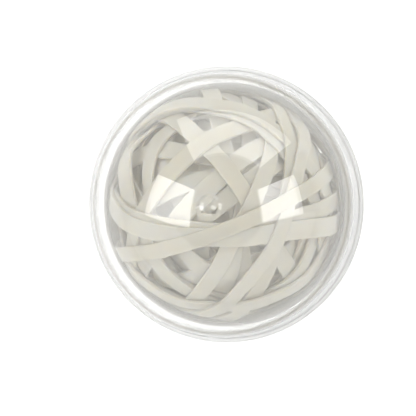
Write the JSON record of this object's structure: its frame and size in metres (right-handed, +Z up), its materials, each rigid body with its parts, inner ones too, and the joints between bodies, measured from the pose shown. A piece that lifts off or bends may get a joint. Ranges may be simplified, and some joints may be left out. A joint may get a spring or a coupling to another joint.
{
  "type": "rubber band ball in clear case",
  "caption": "Ball wound from flat off-white rubber bands inside a clear two-part ball case with a small nub on top; the domed upper half lifts off.",
  "frame": {"origin": "centre of the flat foot under the lower half of the case", "axes": "+Z up through the nub on top, which is the case's turning axis; +X and +Y across the case"},
  "size_m": [0.063, 0.063, 0.0605],
  "materials": {
    "clear_upper_case": "clear, polished",
    "clear_lower_case": "clear, polished",
    "buried_rubber": "matte",
    "rubber": "matte, slightly waxy"
  },
  "bodies": {
    "base": {"lower_shell": "clear_lower_case", "inner_windings": "buried_rubber", "band_01": "rubber", "band_02": "rubber", "band_03": "rubber", "band_04": "rubber", "band_05": "rubber", "band_06": "rubber", "band_07": "rubber", "band_08": "rubber", "band_09": "rubber", "band_10": "rubber", "band_11": "rubber", "band_12": "rubber", "band_13": "rubber", "band_14": "rubber", "band_15": "rubber", "band_16": "rubber", "band_17": "rubber", "band_18": "rubber", "band_19": "rubber", "band_20": "rubber", "band_21": "rubber", "band_22": "rubber", "band_23": "rubber", "band_24": "rubber", "band_25": "rubber", "band_26": "rubber", "band_27": "rubber", "band_28": "rubber", "band_29": "rubber", "band_30": "rubber", "band_31": "rubber", "band_32": "rubber", "band_33": "rubber", "band_34": "rubber", "band_35": "rubber", "band_36": "rubber", "band_37": "rubber", "band_38": "rubber", "band_39": "rubber", "band_40": "rubber", "band_41": "rubber", "band_42": "rubber"},
    "lid": {"upper_shell": "clear_upper_case"}
  },
  "joints": [
    {"name": "lid_lift", "type": "slide", "parent": "base", "child": "lid", "axis": [0, 0, 1], "range_m": [0, 0.035]}
  ]
}
